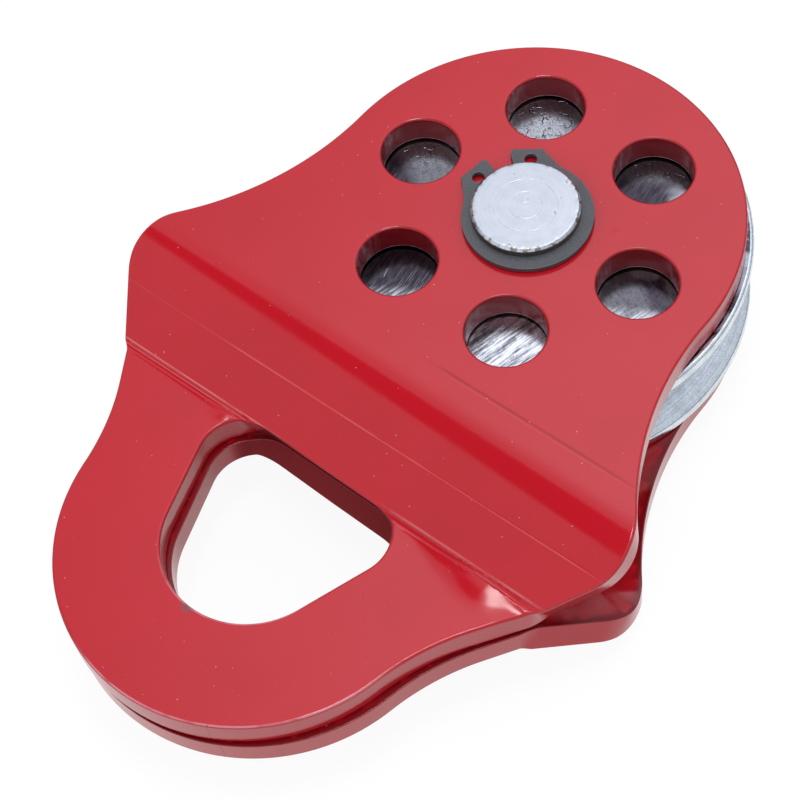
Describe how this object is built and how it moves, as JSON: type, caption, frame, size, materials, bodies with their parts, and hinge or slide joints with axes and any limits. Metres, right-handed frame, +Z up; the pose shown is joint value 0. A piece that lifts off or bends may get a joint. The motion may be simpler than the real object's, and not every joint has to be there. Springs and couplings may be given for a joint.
{
  "type": "snatch block",
  "caption": "Snatch block: a grooved sheave on a plain axle pin between joggled steel side plates that swing open for the rope and meet at a shackle eye.",
  "frame": {"origin": "centre of the axle pin's lower end face, the face the block lies on", "axes": "+Z up along the axle; -Y from the axle to the shackle eye; +X to the right when the eye points at the viewer"},
  "size_m": [0.1377, 0.1896, 0.0444],
  "materials": {
    "red_paint": "glossy red powder coat over plate steel",
    "zinc_plated_steel": "turned and bright zinc plated",
    "phosphated_spring_steel": "dark phosphate on stamped spring steel",
    "sintered_bronze": "oily sintered bronze"
  },
  "bodies": {
    "axle": {"axle_pin": "zinc_plated_steel", "upper_retaining_ring": "phosphated_spring_steel", "lower_retaining_ring": "phosphated_spring_steel"},
    "upper_plate": {"upper_side_plate": "red_paint"},
    "lower_plate": {"lower_side_plate": "red_paint"},
    "sheave": {"sheave": "zinc_plated_steel", "sheave_bush": "sintered_bronze"}
  },
  "joints": [
    {"name": "upper_plate_swing", "type": "hinge", "parent": "axle", "child": "upper_plate", "pos_m": [0, 0, 0.0371], "axis": [0, 0, 1], "continuous": true},
    {"name": "lower_plate_swing", "type": "hinge", "parent": "axle", "child": "lower_plate", "pos_m": [0, 0, 0.0073], "axis": [0, 0, 1], "continuous": true},
    {"name": "sheave_spin", "type": "hinge", "parent": "axle", "child": "sheave", "pos_m": [0, 0, 0.02215], "axis": [0, 0, 1], "continuous": true}
  ]
}
